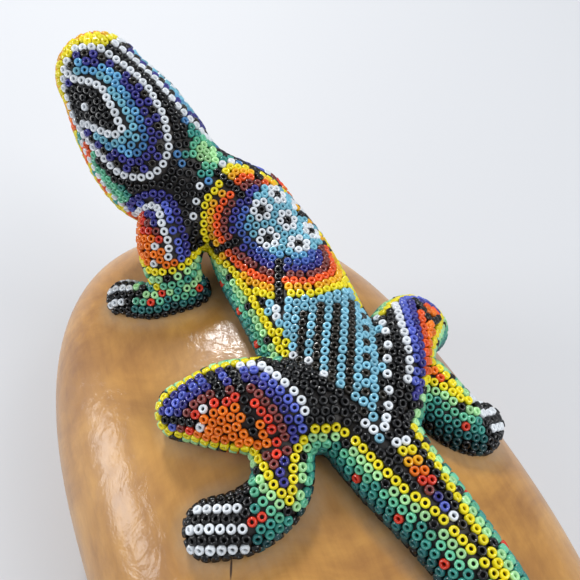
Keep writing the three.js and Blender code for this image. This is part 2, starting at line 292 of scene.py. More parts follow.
LIMBS = {
    "left_upper_arm": [(3, 62, None, 11, 10, 84), (-9.5, 60, None, 9.8, 9.4, 83.5),
                       (-13, 53, None, 8.0, 7.6, 77), (-12, 47.5, None, 6.0, 6.0, 71.5)],
    "left_forearm": [(-10.5, 47.5, None, 5.8, 6.0, 70.5), (-19.5, 48, None, 5.4, 5.4, 69.5),
                     (-27.5, 55, None, 5.6, 5.0, 66.5)],
    "right_upper_arm": [(10, 67, None, 8.5, 8.5, 83.5), (17, 66, None, 7.6, 7.6, 79.5),
                        (22, 60, None, 6.2, 6.2, 72.5), (25, 56, 2.6, 5.4, 5.4)],
    "right_forearm": [(25, 54, 2.6, 5.4, 5.4), (28, 60, 2.4, 5.0, 5.0), (27, 66, 2.2, 5.2, 4.8)],
    "left_thigh": [(6.5, -3, 6.5, 10, 9.5), (-5, 2.6, 6.8, 11.2, 9.8), (-14.5, 7, 6, 10.2, 9),
                   (-22, 10, 4.5, 7, 7)],
    "left_shank": [(-4.5, -5, 4, 7.4, 7), (-8.5, -15, 3, 6.8, 6.4), (-16.5, -18, 2.2, 7, 5.4),
                   (-25, -16.5, 2, 6.6, 5.2)],
    "right_thigh": [(21, -6, 5.5, 9, 9), (29, 5, 6.8, 9.4, 9.6), (38, 13.5, 6.4, 9.2, 9),
                    (44.5, 16.5, 4.5, 8, 7.4)],
    "right_shank": [(33, -3, 4, 7.6, 7), (36.5, -12, 3, 7.6, 6.6), (41, -15.6, 1.7, 6.8, 5.5),
                    (45, -14, 2, 5.8, 5.0)],
}


def unit(vectors):
    return vectors / np.maximum(np.linalg.norm(vectors, axis=1), 1e-9)[:, None]


def spline(points, t, centripetal):
    """Catmull-Rom curve through the points, read at t from 0 to 1."""
    points = np.asarray(points, float)
    last = len(points) - 1
    padded = np.vstack([2 * points[0] - points[1], points, 2 * points[-1] - points[-2]])
    at = np.clip(np.asarray(t, float), 0, 1) * last
    k = np.minimum(at.astype(int), last - 1)
    w = (at - k)[:, None]
    p0, p1, p2, p3 = (padded[k + i] for i in range(4))
    if centripetal:
        d0, d1, d2 = (np.maximum(np.linalg.norm(b - a, axis=1)[:, None], 1e-6) ** 0.5
                      for a, b in ((p0, p1), (p1, p2), (p2, p3)))
        m1 = ((p1 - p0) / d0 - (p2 - p0) / (d0 + d1) + (p2 - p1) / d1) * d1
        m2 = ((p2 - p1) / d1 - (p3 - p1) / (d1 + d2) + (p3 - p2) / d2) * d1
    else:
        m1 = (p2 - p0) / 2
        m2 = (p3 - p1) / 2
    return (p1 + m1 * w + (-3 * p1 + 3 * p2 - 2 * m1 - m2) * w ** 2
            + (2 * p1 - 2 * p2 + m1 + m2) * w ** 3)


class Sweep:
    """Centre line and half widths of one limb, with the frame of its cross-sections."""

    def __init__(self, stations):
        self.centres = [(s[0], s[1], s[5] if s[2] is None else float(base_top(*s[:2])) + s[2])
                        for s in stations]
        self.girths = [(s[3], s[4]) for s in stations]

    def frame(self, t):
        centre = spline(self.centres, t, True)
        step = 1e-4
        forward = unit(spline(self.centres, np.minimum(t + step, 1), True)
                       - spline(self.centres, np.maximum(t - step, 0), True))
        side = unit(np.cross(forward, [0, 0, 1.0]))
        over = np.cross(side, forward)
        return centre, forward, side, over, spline(self.girths, t, False)

    def solid(self, name, depth, sides, rings):
        """A round-ended sausage along the sweep, its surface the depth below the beads' tops."""
        deselect()
        bpy.ops.mesh.primitive_uv_sphere_add(segments=sides, ring_count=rings, radius=1.0)
        made = bpy.context.object
        made.name = name
        ball = mesh_points(made.data)
        # the ball's latitude runs along the sweep, its two caps rounding off the ends
        latitude = np.arcsin(np.clip(ball[:, 2], -1, 1))
        shaft = math.pi / 2 - END_CAP
        t = np.clip((latitude / shaft + 1) / 2, 0, 1)
        beyond = np.sign(latitude) * np.clip(np.abs(latitude) - shaft, 0, END_CAP) / END_CAP
        centre, forward, side, over, girth = self.frame(t)
        girth = girth - depth
        turn = beyond * math.pi / 2
        angle = np.arctan2(ball[:, 1], ball[:, 0])
        ring = np.cos(turn)
        ring[np.abs(ball[:, 2]) > 1 - 1e-9] = 0
        points = (centre + side * (np.cos(angle) * ring * girth[:, 0])[:, None]
                  + over * (np.sin(angle) * ring * girth[:, 1])[:, None]
                  + forward * (np.sin(turn) * girth.mean(1))[:, None])
        set_points(made.data, points / 1000)
        return made


spine = Sweep(SPINE)
limbs = {name: Sweep(stations) for name, stations in LIMBS.items()}
parts = [spine.solid("spine", BEAD_CENTRE, 48, 180)]
parts += [limb.solid(name, BEAD_CENTRE, 36, 80) for name, limb in limbs.items()]
deselect()
for part in parts:
    part.select_set(True)
bpy.context.view_layer.objects.active = parts[0]
bpy.ops.object.join()
wax = bpy.context.object
wax.name = "wax_coat"
bpy.ops.object.mode_set(mode="EDIT")
bpy.ops.mesh.select_all(action="SELECT")
bpy.ops.mesh.normals_make_consistent(inside=False)
bpy.ops.object.mode_set(mode="OBJECT")


def work_in(thing, kind, **settings):
    """Put a modifier on a piece, set it and apply it."""
    worker = thing.modifiers.new(kind.lower(), kind)
    for name, value in settings.items():
        setattr(worker, name, value)
    bpy.ops.object.modifier_apply(modifier=worker.name)


def shade_smooth(thing):
    deselect()
    thing.select_set(True)
    bpy.context.view_layer.objects.active = thing
    bpy.ops.object.shade_smooth()


work_in(wax, "REMESH", mode="VOXEL", voxel_size=0.0008)
work_in(wax, "SMOOTH", factor=0.5, iterations=8)
work_in(wax, "TRIANGULATE")
skin = mesh_points(wax.data) * 1000
lowest = base_top(skin[:, 0], skin[:, 1])
resting = skin[:, 2] <= lowest + ON_WOOD
skin[resting, 2] = lowest[resting] + ON_WOOD
set_points(wax.data, skin / 1000)
shade_smooth(wax)

# painted shade: the wax is coloured near black for the shadow that falls between the beads, not
# for the wax's own colour
WAX_GAP_SHADE = [(0.3, (0.012, 0.010, 0.010)), (0.7, (0.045, 0.037, 0.033))]
dark_wax, tree, shader = new_finish("dark_wax", 0.5)
smear = noise(tree, placed(tree), Scale=900.0, Detail=3.0, Roughness=0.6)
tree.links.new(ramp(tree, smear, WAX_GAP_SHADE), shader.inputs["Base Color"])
uneven(tree, smear, shader.inputs["Normal"], 0.5, 0.0002)
wax.data.materials.append(dark_wax)
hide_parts("head_wax", "trunk_wax", "tail_wax", "left_front_leg_wax", "right_front_leg_wax",
            "left_hind_leg_wax", "right_hind_leg_wax")
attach(wax, "root")

# Hidden inside: the carving's head, trunk, tail and legs, cut from pale softwood, and the turned
# hardwood pegs that join them to each other and to the base. Their shapes come from the CAD.
def bare_wood(name, dark, light, across):
    material, tree, shader = new_finish(name, 0.7)
    fibre = noise(tree, placed(tree, node(tree, "ShaderNodeMapping", Scale=across)),
                  Scale=1.0, Detail=5.0)
    tree.links.new(ramp(tree, fibre, [(0.3, dark), (0.7, light)]), shader.inputs["Base Color"])
    return material


inner_woods = {
    "_carving": bare_wood("carving_softwood", (0.42, 0.27, 0.13), (0.62, 0.45, 0.26),
                          (700, 60, 700)),
    "_peg": bare_wood("peg_hardwood", (0.30, 0.17, 0.08), (0.45, 0.28, 0.14), (900, 900, 90))}
for thing in bpy.context.scene.objects:
    for ending, wood in inner_woods.items():
        if thing.type == "MESH" and ending in thing.name:
            for slot in thing.material_slots:
                slot.material = wood

# The beads: ring-shaped glass seed beads, set one by one into the wax with a needle, hole up,
# in rows that start at the wood and follow the edges of each motif. Lengths are in mm.
PITCH = 2.25
ROW = 1.95
HALF_ROW = 0.5 * ROW
TIGHT = 0.885 * PITCH
CLOSE = 0.85 * PITCH
SNUG = 0.8 * PITCH
CHAIN_HOLD = 0.25
FINE_STEP = 0.12
NEAR_LINE = 1.7
CELL = 3
skin_x, skin_y, skin_z = skin.T
tris = np.array([tuple(p.vertices) for p in wax.data.polygons])
edge1 = skin[tris[:, 1]] - skin[tris[:, 0]]
edge2 = skin[tris[:, 2]] - skin[tris[:, 0]]
face_normal = np.cross(edge1, edge2)
normals = np.zeros_like(skin)
for corner in range(3):
    np.add.at(normals, tris[:, corner], face_normal)
normals = unit(normals)
surface = BVHTree.FromPolygons([Vector(p) for p in skin], [tuple(int(i) for i in t) for t in tris])


def lookup(points):
    """A tree that finds the nearest of the points."""
    made = KDTree(len(points))
    for i, p in enumerate(points):
        made.insert(p, i)
    made.balance()
    return made


skin_lookup = lookup(skin)

# each triangle corner with the two vertices facing it, for carrying distances over the skin
corners = np.concatenate([tris[:, [0, 1, 2]], tris[:, [1, 2, 0]], tris[:, [2, 0, 1]]])
ca = skin[corners[:, 1]] - skin[corners[:, 0]]
cb = skin[corners[:, 2]] - skin[corners[:, 0]]
g11, g12, g22 = (ca * ca).sum(1), (ca * cb).sum(1), (cb * cb).sum(1)
det = np.maximum(g11 * g22 - g12 * g12, 1e-12)
q11, q12, q22 = g22 / det, -g12 / det, g11 / det
la, lb = np.sqrt(g11), np.sqrt(g22)
qs = q11 + 2 * q12 + q22


def spread(distance, reach=90.0):
    """Carry known distances outwards over the skin, triangle by triangle."""
    distance = distance.copy()
    moved = np.isfinite(distance)
    for _ in range(400):
        busy = np.nonzero(moved[corners[:, 1]] | moved[corners[:, 2]])[0]
        if not len(busy):
            break
        di, dj = distance[corners[busy, 1]], distance[corners[busy, 2]]
        best = np.minimum(di + la[busy], dj + lb[busy])
        both = np.isfinite(di) & np.isfinite(dj)
        b = busy[both]
        i, j = di[both], dj[both]
        qd = (q11[b] + q12[b]) * i + (q12[b] + q22[b]) * j
        dd = q11[b] * i * i + 2 * q12[b] * i * j + q22[b] * j * j
        root = qd * qd - qs[b] * (dd - 1)
        t = (qd + np.sqrt(np.maximum(root, 0))) / qs[b]
        wi = q11[b] * (i - t) + q12[b] * (j - t)
        wj = q12[b] * (i - t) + q22[b] * (j - t)
        good = (root > 0) & (wi < 0) & (wj < 0) & (t >= np.maximum(i, j) - 1e-6)
        inner = best[both]
        inner[good] = np.minimum(inner[good], t[good])
        best[both] = inner
        before = distance.copy()
        np.minimum.at(distance, corners[busy, 0], np.where(best < reach, best, np.inf))
        moved = distance < before - 1e-4
    return distance


def snapped(points, step=0.35):
    """A line through rough points, laid exactly on the skin, with the way out at each step."""
    points = np.asarray(points, float)
    dense = [points[0]]
    for a, b in zip(points[:-1], points[1:]):
        count = max(1, int(np.linalg.norm(b - a) / step))
        dense += [a + (b - a) * (k + 1) / count for k in range(count)]
    found = [surface.find_nearest(Vector(p)) for p in dense]
    return np.array([f[0] for f in found]), np.array([f[1] for f in found])


def from_line(points, reach):
    """Distance over the skin from a line laid on it."""
    on_skin, _ = snapped(points)
    near = np.full(len(skin), np.inf)
    for p in on_skin:
        for _, index, gap in skin_lookup.find_range(Vector(p), NEAR_LINE):
            near[index] = min(near[index], gap)
    return spread(near, reach)


def enclosed(points, reach=14.0, facing=-0.2):
    """The skin inside a closed outline, seen along the outline's own mean direction."""
    on_skin, out = snapped(points + [points[0]])
    mean = out.mean(0)
    mean /= np.linalg.norm(mean)
    side = np.cross(mean, [0.3, 0.2, 1.0])
    side /= np.linalg.norm(side)
    up = np.cross(mean, side)
    flat = np.stack([on_skin @ side, on_skin @ up], 1)
    x, y = skin @ side, skin @ up
    inside = np.zeros(len(skin), bool)
    for (x0, y0), (x1, y1) in zip(flat, np.roll(flat, -1, 0)):
        if y0 != y1:
            inside ^= ((y0 > y) != (y1 > y)) & (x < (x1 - x0) * (y - y0) / (y1 - y0) + x0)
    depth = (skin - on_skin.mean(0)) @ mean
    lowest = ((on_skin - on_skin.mean(0)) @ mean).min()
    return inside & (normals @ mean > facing) & (depth > lowest - reach)


beads = []
cells = {}
steady = []
fill_colour = np.full(len(skin), "black", dtype=object)
fill_zone = np.full(len(skin), "back_field_beads", dtype=object)


def cell_of(p):
    return int(p[0] // CELL), int(p[1] // CELL), int(p[2] // CELL)


def room(p, least):
    """Whether a bead at p keeps the least distance from all that are set."""
    a, b, c = cell_of(p)
    for key in ((a + i, b + j, c + k) for i in (-1, 0, 1) for j in (-1, 0, 1) for k in (-1, 0, 1)):
        for q in cells.get(key, ()):
            if (p[0] - q[0]) ** 2 + (p[1] - q[1]) ** 2 + (p[2] - q[2]) ** 2 < least * least:
                return False
    return True


def set_bead(p, n, colour, zone, hold=1.0):
    beads.append((p, n, colour, zone))
    steady.append(hold)
    cells.setdefault(cell_of(p), []).append(p)


def set_spots(spots, zone, hold=1.0):
    """Set single beads, each at its place and in its colour, where there is room."""
    for spot, colour in spots:
        p, up, _, _ = surface.find_nearest(Vector(spot))
        if room(tuple(p), SNUG):
            set_bead(tuple(p), tuple(up), colour, zone, hold)


def string(line, out, colour, zone, spacing=PITCH, least=TIGHT, closed=False, hold=1.0):
    """Set beads along a line on the skin, each pushed on until it clears those already set."""
    seg = np.linalg.norm(np.diff(line, axis=0), axis=1)
    along = np.concatenate([[0], np.cumsum(seg)])
    total = along[-1]
    if total < 0.6 * PITCH:
        return
    count = int(total / FINE_STEP) + 1
    at = np.linspace(0, total, count)
    points = np.stack([np.interp(at, along, line[:, k]) for k in range(3)], 1).tolist()
    ups = unit(np.stack([np.interp(at, along, out[:, k]) for k in range(3)], 1)).tolist()
    gap = spacing
    if closed and total > 2 * spacing:
        gap = total / max(1, round(total / spacing))
    last = -math.inf
    number = 0
    for here, p, up in zip(at, points, ups):
        if here - last >= gap - FINE_STEP / 2 and room(p, least):
            what = colour(number, p) if callable(colour) else colour
            where = zone(p) if callable(zone) else zone
            set_bead(p, up, what, where, hold)
            last = here
            number += 1


def chain(points, colours, zone, spacing=PITCH, least=SNUG):
    """A single file of beads through the points, in one colour or in a list of them."""
    line, out = snapped(points, 0.3)
    if isinstance(colours, str):
        colours = [colours]
    string(line, out, lambda i, p: colours[min(i, len(colours) - 1)], zone, spacing, least,
           hold=CHAIN_HOLD)


def contours(field, level, allowed):
    """The lines on the skin where the field has the level, as ordered points with directions."""
    value = field - level
    ok = allowed[tris].all(1) & np.isfinite(value[tris]).all(1)
    t = tris[ok]
    sign = value[t] > 0
    cross = sign.any(1) & ~sign.all(1)
    t, sign = t[cross], sign[cross]
    links = {}
    for (a, b, c), (sa, sb, sc) in zip(t.tolist(), sign.tolist()):
        ends = []
        for u, v, su, sv in ((a, b, sa, sb), (b, c, sb, sc), (c, a, sc, sa)):
            if su != sv:
                ends.append((u, v) if u < v else (v, u))
        links.setdefault(ends[0], []).append(ends[1])
        links.setdefault(ends[1], []).append(ends[0])
    used = set()
    lines = []
    starts = [k for k, v in links.items() if len(v) == 1] + list(links)
    for start in starts:
        if start in used:
            continue
        walk = [start]
        used.add(start)
        here = start
        while True:
            onward = [k for k in links[here] if k not in used]
            if not onward:
                break
            here = onward[0]
            used.add(here)
            walk.append(here)
        closed = len(walk) > 3 and len(links[start]) == 2 and start in links[walk[-1]]
        pair = np.array(walk)
        v0, v1 = value[pair[:, 0]], value[pair[:, 1]]
        w = (v0 / (v0 - v1))[:, None]
        line = skin[pair[:, 0]] * (1 - w) + skin[pair[:, 1]] * w
        out = normals[pair[:, 0]] * (1 - w) + normals[pair[:, 1]] * w
        if closed:
            line = np.vstack([line, line[:1]])
            out = np.vstack([out, out[:1]])
        if len(line) > 2:
            eased = line.copy()
            eased[1:-1] = (line[:-2] + 2 * line[1:-1] + line[2:]) / 4
            lines.append((eased, out, closed))
    lines.sort(key=lambda item: -len(item[0]))
    return lines


def by_row(*colours):
    """A choice of colour by the row's number, the last colour serving all rows beyond."""
    return lambda k, i, p: colours[min(k, len(colours) - 1)]


def rows(field, allowed, first, count, colour, zone):
    """Rows of beads over the allowed skin, a row's width apart by the field."""
    for v in np.nonzero(allowed & np.isfinite(field))[0]:
        k = int(min(count - 1, max(0, round((field[v] - first) / ROW))))
        fill_colour[v] = colour(k, 3, skin[v])
        fill_zone[v] = zone(skin[v]) if callable(zone) else zone
    for k in range(count):
        for line, out, closed in contours(field, first + k * ROW, allowed):
            string(line, out, (lambda i, p, k=k: colour(k, i, p)), zone, closed=closed)


# the part of the body that each point of the skin belongs to
labels = ["spine"] + list(LIMBS)
gaps = []
for name, sweep in [("spine", spine)] + list(limbs.items()):
    t = np.linspace(0, 1, 400 if name == "spine" else 120)
    centre, forward, side, over, girth = sweep.frame(t)
    path = lookup(centre)
    which = np.array([path.find(Vector(p))[1] for p in skin])
    offset = skin - centre[which]
    away = np.sqrt(((offset * side[which]).sum(1) / girth[which, 0]) ** 2
                   + ((offset * over[which]).sum(1) / girth[which, 1]) ** 2
                   + ((offset * forward[which]).sum(1) / girth[which].mean(1)) ** 2)
    gaps.append(np.abs(away - 1) * girth[which].mean(1))
    if name == "spine":
        spine_t = t[which]
        spine_side = (offset * side[which]).sum(1)
part_of = np.argmin(np.array(gaps), 0)


def skin_of(*names):
    """The skin of the named parts of the body."""
    return np.isin(part_of, [labels.index(name) for name in names])


def nearest(p):
    return skin_lookup.find(Vector(p))[1]


def leg_of(p):
    """The leg that a point of the skin is on, such as left_front, or else the spine."""
    name = labels[part_of[nearest(p)]]
    side = name.split("_")[0]
    return side + ("_front" if "arm" in name else "_hind") if name != "spine" else "spine"


def border_zone(p):
    """The group that a border bead belongs to."""
    leg = leg_of(p)
    if leg != "spine":
        return leg + "_leg_border_beads"
    i = nearest(p)
    if p[1] < -44 and from_wood[i] > 6 * ROW:
        return "tail_ridge_beads"
    if p[1] < -20:
        return "tail_border_beads"
    return "left_flank_border_beads" if spine_side[i] < 0 else "right_flank_border_beads"


free = ~resting
touching = np.zeros(len(skin), bool)
mixed = resting[tris].any(1) & free[tris].any(1)
touching[tris[mixed].ravel()] = True
seed = np.full(len(skin), np.inf)
seed[touching & resting] = 0.0
height_over = skin_z - base_top(skin_x, skin_y)
seed[touching & free] = np.clip(height_over[touching & free], 0, 1.0)
from_wood = spread(seed)
from_wood[resting] = 0
BORDER = 7 * ROW + 0.1

# The feet: each an oval of black beads with three white stripes along it, set toe to ankle. The
# middle stripe is a single chain, the other two are stretches of the second rows beside it.
claimed = np.zeros(len(skin), bool)


def open_skin(area):
    """What is left of an area once the base and the finished motifs are taken off."""
    return area & free & ~claimed


FEET = {
    "left_hind": [(-28.5, -16, 75), (-26.5, -17, 76), (-23.5, -18.5, 77), (-20, -20, 77.5),
                  (-18, -20.8, 77.5)],
    "left_front": [(-31, 57, 69), (-28, 55.5, 70.5), (-25, 53, 71.5)],
    "right_hind": [(48.5, -13.2, 69), (45, -14, 71.5), (42, -15.2, 73)],
    "right_front": [(27, 70, 66), (27.4, 67, 68), (27.5, 64.5, 69.5)],
}
foot_skin = {
    "left_hind": skin_of("left_shank") & ((skin_x + 17.0) * -0.93 + (skin_y + 18.5) * 0.37 > 0),
    "left_front": (skin_of("left_forearm")
                   & ((skin_x + 23.6) * -0.80 + (skin_y - 53.6) * 0.6 > 0)),
    "right_hind": skin_of("right_shank") & (skin_x > 41.5),
    "right_front": skin_of("right_forearm") & (skin_y > 63.5),
}
for leg, line in FEET.items():
    area = foot_skin[leg] & free
    name = leg + "_foot_beads"
    middle = from_line(line, 22)
    start = np.array(line[0])
    toe = np.array(line[-1]) - start
    length = np.linalg.norm(toe)
    toe = toe / length

    def stripe(k, p):
        along = (np.array(p) - start) @ toe
        return "white" if k == 2 and -0.6 < along < length - 0.4 else "black"

    chain(line, "white", name)
    for k in range(1, 9):
        for one, out, closed in contours(middle, k * ROW * 1.04, area):
            string(one, out, (lambda i, p, k=k: stripe(k, p)), name, closed=closed)
    claimed |= area

# The border: seven rows of beads that climb from the wood along the flanks, tail and legs.
# Black, two dark teals, teal with red dots, mint, pale green with black dots, and yellow.
# The forearms are slender and have room for fewer of them.
BORDER_COLOURS = ["black", "dark_teal", "sea_teal", "teal", "mint", "pale_green", "yellow"]
FOREARM_COLOURS = ["black", "sea_teal", "mint", "pale_green", "yellow", "yellow", "yellow"]
# row: one bead in how many, counted from which, has which other colour
BORDER_DOTS = {0: (3, 1, "dark_teal"), 1: (4, 2, "black"), 3: (5, 2, "red"), 4: (5, 0, "teal"),
               5: (5, 2, "black")}
FOREARM_DOTS = {2: (6, 2, "red"), 3: (7, 3, "black")}
forearms = skin_of("left_forearm", "right_forearm")


def border_colour(k, i, p):
    slender = forearms[nearest(p)]
    every, which, dot = (FOREARM_DOTS if slender else BORDER_DOTS).get(k, (1, 1, None))
    return dot if i % every == which else (FOREARM_COLOURS if slender else BORDER_COLOURS)[k]


SEAM = [(-2, 13.6, 83.6), (-5, 11.6, 84.8), (-8, 11.6, 85.1), (-12, 12.3, 84.9), (-16, 13.4, 83.4),
        (-20, 13.4, 81.4), (-24, 12.6, 79.4), (-27.2, 10.8, 77.6), (-28.4, 8.4, 76.8),
        (-26.5, 5.3, 77.2), (-22.5, 2.4, 78.3), (-18, -2.0, 79.2), (-14.5, -4.4, 79.3),
        (-11.3, -7.2, 80), (-10.3, -11, 80.3), (-10, -16, 80.3), (-8.2, -19.3, 79.3),
        (-6, -16, 80.8), (-4.5, -12.5, 81.3), (-1.5, -9, 82.3), (1, -9, 83.5)]
leg_skin = open_skin(skin_of("left_thigh", "left_shank") & (skin_x < 1))
within = enclosed(SEAM + [(2, -4, 87), (0, 6, 87)], facing=-0.6, reach=25)
rows(from_wood, leg_skin & ~within, HALF_ROW, 2, border_colour, border_zone)
claimed |= leg_skin & ~within & (from_wood < 2 * ROW)
chain(SEAM, "yellow", "left_hind_leg_border_beads")
from_seam = from_line(SEAM, 26)
DOWNWARDS = [5, 4, 3, 3, 2, 2, 1, 1, 1, 1]
leg_open = leg_skin & ~within & ~claimed
rows(from_seam, leg_open, ROW, 10, lambda k, i, p: border_colour(DOWNWARDS[k], i, p),
     "left_hind_leg_border_beads")
claimed |= leg_open
claimed |= (from_seam < 0.55 * ROW) & free
rest_of_skin = open_skin(~within)
beside_saddle = (skin_x > 15) & (skin_x < 30) & (skin_y > -14) & (skin_y < 17)
rows(from_wood, rest_of_skin & ~(beside_saddle & (from_wood > 5.6 * ROW)), HALF_ROW, 7,
     border_colour, border_zone)
claimed |= (from_wood < BORDER) & rest_of_skin & ~(beside_saddle & (from_wood > 6 * ROW))

# The medallion on the back: six lobes parted by black rays, striped from yellow at the rim to
# blue, round a light blue centre with seven white flowers.
MEDALLION_RIM = [(2.5, 58.5, 95.5), (-1, 57.5, 93.5), (-3, 55.5, 90.5), (-4.5, 53, 87.5),
                 (-4.0, 50, 83.5), (-2.5, 47.5, 81), (-1.5, 46, 80), (-0.5, 40, 79.5), (1, 33, 82),
                 (3.5, 28.5, 83.5), (6, 25.5, 85), (8.5, 24.5, 86), (12.5, 22.5, 86.5),
                 (16, 21.3, 86.5), (21, 22.5, 85), (25, 25, 82), (28, 30, 79.5), (29.5, 36, 78),
                 (30, 42, 79), (29, 48, 82), (26, 55, 86), (21, 60.5, 90), (14, 63.5, 94.5),
                 (6.5, 63.5, 96.5), (5, 61, 96)]
zone = "medallion_beads"
RAYS = [
    [(4.2, 61.5, 96.2), (6.5, 57, 95.2), (8.5, 53, 93.5)],
    [(-3.2, 48.5, 81.5), (1, 47, 85), (5, 45.5, 87.5)],
    [(7, 24.2, 85.5), (9, 30, 86.3), (11, 35.5, 86.5)],
    [(29.5, 36, 78), (27, 39, 80.5), (24.5, 41.5, 82)],
    [(28.5, 50, 83), (25.5, 50.5, 85.5), (23.5, 50, 87)],
    [(14.5, 63.5, 94.5), (14.8, 60.5, 94), (15.2, 57.5, 93)]]
for ray in RAYS:
    chain(ray, "black", zone, least=CLOSE)
heart_at, heart_up, _, _ = surface.find_nearest(Vector((17.5, 47.0, 87.5)))
forwards = Vector((0.375, 0.927, 0.0))
forwards = (forwards - heart_up * forwards.dot(heart_up)).normalized()
across = forwards.cross(heart_up)


def walk(angle, distance):
    """The point that a straight walk over the skin from the medallion's heart reaches."""
    here, up = heart_at.copy(), heart_up.copy()
    heading = forwards * math.cos(angle) + across * math.sin(angle)
    left = distance
    while left > 1e-6:
        step = min(0.4, left)
        here, up, _, _ = surface.find_nearest(here + heading * step)
        heading = (heading - up * heading.dot(up)).normalized()
        left -= step
    return here, up


# the centre's beads sit in a honeycomb: a black one ringed by six white ones makes a flower
FLOWERS = [(0, 0)] + [(math.sin(math.radians(30 + 60 * n)) * 3.464 * PITCH,
                       math.cos(math.radians(30 + 60 * n)) * 3.464 * PITCH) for n in range(6)]
for i in range(-8, 9):
    for j in range(-8, 9):
        x = PITCH * 0.866 * i
        y = PITCH * (j + 0.5 * i)
        distance = math.hypot(x, y)
        if distance > 4.75 * PITCH:
            continue
        p, up = walk(math.atan2(x, y), distance)
        gap = min(math.hypot(x - cx, y - cy) for cx, cy in FLOWERS)
        colour = "black" if gap < 0.3 * PITCH else "white" if gap < 1.2 * PITCH else "turquoise"
        if from_wood[nearest(p)] > BORDER and room(tuple(p), SNUG):
            set_bead(tuple(p), tuple(up), colour, zone)
set_spots([((-0.8, 59.8, 95), "white"), ((-3, 57.6, 92.4), "white"), ((-5, 55.8, 89.5), "white"),
           ((6.3, 63.8, 96.6), "white"), ((9.5, 65, 96.5), "white")], zone, 0.3)
from_rim = from_line(MEDALLION_RIM + MEDALLION_RIM[:1], 30)
area = open_skin(enclosed(MEDALLION_RIM))
lobe = by_row("yellow", "amber", "orange_red", "brown", "navy", "blue", "light_blue", "turquoise")
rows(from_rim, area, HALF_ROW, 10, lobe, zone)
claimed |= area

# The saddle behind it: light blue columns with gold-lined black ones between, white at their
# lower ends, narrowing to a white point over the tail.
zone = "saddle_beads"
SADDLE = [(4, 26, 84), (1.5, 20, 83), (0.5, 14.5, 82.5), (2.5, 10.8, 83.5), (5, 5.5, 85.5),
          (7, 0, 87), (9, -4, 87), (11, -8, 85.5), (12, -12.5, 85), (13.2, -16.5, 85),
          (14.5, -16.5, 85), (16.5, -12.5, 85), (19.5, -8, 84.5), (21.5, -4, 84.5), (23.5, 0, 85),
          (25.5, 4.5, 84.5), (28, 9.5, 83), (29, 17, 78), (27, 24, 80), (21, 24, 85),
          (14, 22, 86.5)]
chain([(5.6, 22.6, 85), (4.4, 18.6, 84.6)], "white", zone, least=0.7 * PITCH)
chain([(28.6, 14, 80.5), (28, 9.5, 83), (25.8, 4.5, 84.5), (23.5, 0, 85), (21.5, -4, 84.5),
       (19.5, -8, 84.5), (16.8, -12.0, 85)],
      "white", zone, spacing=1.75 * PITCH)
chain([(12, -12, 85), (13, -14, 85), (13.6, -16, 85)], "white", zone)
chain([(16.5, -12.5, 85), (15.3, -14.6, 85)], "white", zone)
area = open_skin(enclosed(SADDLE))
column_line = [(23.5, 30.5, 84), (18, 20, 86), (15.2, 14.6, 86.5), (12.5, 9.4, 86.5),
               (9.8, 4.4, 86), (7.5, 0, 87), (4.8, -5, 86), (2, -10.4, 85)]
beside = from_line(column_line, 30)
lean = skin @ np.array([0.885, -0.466, 0.0]) - (18 * 0.885 - 20 * 0.466)
columns = np.where(lean < 0, -beside, beside)
COLUMN = 1.88
foot_line = [(1.5, 13, 83), (3, 10.4, 83.8), (5, 5.5, 85.5), (7, 0, 87), (9, -4, 87),
             (11, -8, 85.5), (12, -12.5, 85)]
from_foot = from_line(foot_line, 12)


def saddle_colour(number):
    def choose(i, p):
        v = nearest(p)
        if from_foot[v] < 1.25 and number % 2 == 0:
            return "white"
        if from_rim[v] < ROW + 1.2:
            return "sky"
        if number in (5, 7):
            return "gold_black" if i % 2 else "sky"
        return "gold_black" if number % 2 and number > -5 else "sky"
    return choose


for number in range(-8, 15):
    for line, out, closed in contours(columns, number * COLUMN, area):
        if line[0][1] < line[-1][1]:
            line, out = line[::-1], out[::-1]
        string(line, out, saddle_colour(number), zone)
claimed |= area

# The left hind leg: flames of orange, red, brown and navy round the knee, with black bars, inside
# the border's yellow line. A white and a navy chain are its outer edge.
flames = by_row("periwinkle", "navy", "brown", "red", "orange")
zone = "left_hind_leg_motif_beads"
EDGE = [(-27.2, 8.2, 77.8), (-25.5, 10.2, 79.4), (-20.5, 11.4, 82), (-16, 11.4, 84),
        (-12, 10.3, 85.6), (-8, 9.6, 86), (-5.4, 9.2, 86.2), (-4, 8.4, 86.6), (-3, 5.5, 87.5),
        (-1, 2, 88), (0, -0.5, 88), (1, -3, 87.5), (1, -5, 87), (1, -7.5, 85.5)]
chain([(-26.5, 8, 79), (-24.5, 6.5, 80), (-23, 5, 81), (-21, 3.5, 82)], "black", zone)
chain([(-14.5, 11, 85.5), (-14.5, 7.5, 86.5), (-14, 5.5, 86.5), (-14, 3, 86.5)], "black", zone)
chain([(-10.5, 10, 86), (-10, 5.5, 87.5), (-10, 2, 87.5), (-10, 0, 87), (-10, -2, 86),
       (-10, -5, 83)], "black", zone)
set_spots([((-18.5, 4, 84.5), "white"), ((-20, 1.5, 82), "white"), ((-17.5, -1.5, 80), "black"),
           ((-13.5, -4, 80), "black"), ((-6.5, -12, 81.5), "navy"), ((-8, -14, 81), "navy"),
           ((-8, -16.5, 80.5), "periwinkle")], zone)
chain(EDGE[5:], "white", zone, spacing=1.12 * PITCH)
chain(EDGE[:6], "navy", zone)
edge = from_line(EDGE, 40)
area = open_skin(enclosed(EDGE + [(-1.5, -12, 82), (-4, -18, 78), (-9, -22, 76), (-12, -14, 74),
                                  (-16, -4, 72), (-27, 4, 70)], facing=-0.6, reach=25))
area |= open_skin(within & (skin_x < -4))


def flame_colour(k, i, p):
    if p[1] < -12.0:
        return "navy"
    if p[1] < -9.0:
        return "brown" if k % 2 else "red"
    return flames(k, i, p)


rows(edge, area, ROW, 12, flame_colour, zone)
claimed |= area

